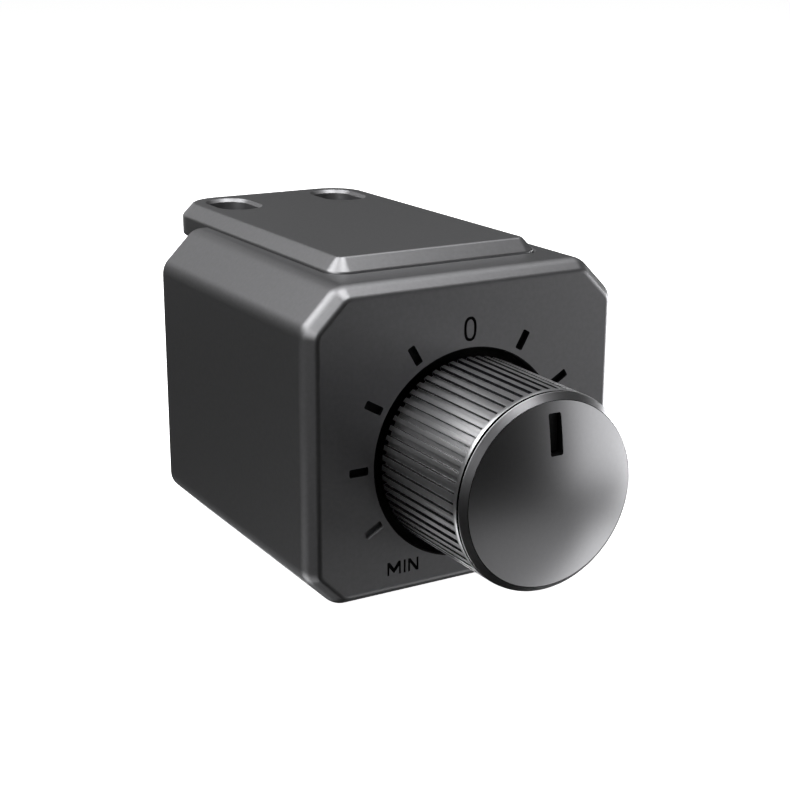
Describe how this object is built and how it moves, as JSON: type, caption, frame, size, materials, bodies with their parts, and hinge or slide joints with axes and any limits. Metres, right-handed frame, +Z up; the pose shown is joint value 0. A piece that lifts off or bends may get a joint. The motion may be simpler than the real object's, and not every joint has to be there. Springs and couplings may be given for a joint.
{
  "type": "trailer brake controller unit",
  "caption": "Under-dash trailer brake controller: bevelled box with an overhanging slotted mounting plate and one large fluted gain knob that turns and presses in.",
  "frame": {"origin": "on the mounting plate's top face, on the centre line, midway between the two mounting slots", "axes": "+Z up, out of the mounting face; +Y away from the driver, along the knob's axis; +X to the driver's right"},
  "size_m": [0.04, 0.0695, 0.0376],
  "materials": {
    "satin_plastic": "fine satin texture, dark grey",
    "coated_metal": "dark grey satin coat",
    "knob_metal": "satin grey anodised",
    "pointer_black": "flat black",
    "black_plastic": "moulded black",
    "chip_plastic": "moulded, fine grain",
    "zinc_steel": "zinc plated",
    "black_steel": "blackened",
    "spring_steel": "bright drawn",
    "contact_brass": "plain",
    "gasket_rubber": "matte",
    "board_laminate": "green solder mask",
    "carbon_track": "carbon film",
    "can_aluminium": "satin"
  },
  "bodies": {
    "housing": {"housing_shell": "satin_plastic", "mounting_plate": "coated_metal", "plate_screw_1": "zinc_steel", "plate_screw_2": "zinc_steel", "rear_cover": "satin_plastic", "cover_gasket": "gasket_rubber", "cover_screw_1": "black_steel", "cover_screw_2": "black_steel", "cover_screw_3": "black_steel", "cover_screw_4": "black_steel", "connector_socket": "black_plastic", "contact_pin_1": "contact_brass", "contact_pin_2": "contact_brass", "contact_pin_3": "contact_brass", "contact_pin_4": "contact_brass", "main_board": "board_laminate", "board_screw_1": "zinc_steel", "board_screw_2": "zinc_steel", "board_screw_3": "zinc_steel", "board_screw_4": "zinc_steel", "microcontroller": "chip_plastic", "accelerometer_chip": "chip_plastic", "voltage_regulator": "chip_plastic", "power_transistor": "chip_plastic", "filter_capacitor": "can_aluminium", "pot_case": "black_plastic", "pot_cover": "black_plastic", "resistive_track": "carbon_track", "pot_terminal_1": "contact_brass", "pot_terminal_2": "contact_brass", "pot_terminal_3": "contact_brass", "lock_washer": "zinc_steel", "bushing_nut": "zinc_steel", "return_spring": "spring_steel", "switch_case": "black_plastic", "switch_terminal_1": "contact_brass", "switch_terminal_2": "contact_brass"},
    "rotor": {"pot_rotor": "black_plastic", "wiper": "contact_brass"},
    "knob": {"knob_body": "knob_metal", "knob_cap": "knob_metal", "pointer_inlay": "pointer_black", "hub_insert": "contact_brass", "pot_shaft": "spring_steel", "shaft_clip": "spring_steel"},
    "plunger": {"switch_plunger": "black_plastic"}
  },
  "joints": [
    {"name": "gain_turn", "type": "hinge", "parent": "housing", "child": "rotor", "pos_m": [0, -0.0449, -0.022], "axis": [0, 1, 0], "range_deg": [-150, 150]},
    {"name": "override_press", "type": "slide", "parent": "rotor", "child": "knob", "axis": [0, 1, 0], "range_m": [0, 0.0012], "stiffness_N_per_m": 2000, "springref_m": -0.001, "deforming": ["return_spring"]},
    {"name": "switch_press", "type": "slide", "parent": "housing", "child": "plunger", "axis": [0, 1, 0], "range_m": [0, 0.0012]}
  ],
  "couplings": [
    {"joint": "switch_press", "follows": "override_press", "ratio": 1}
  ]
}
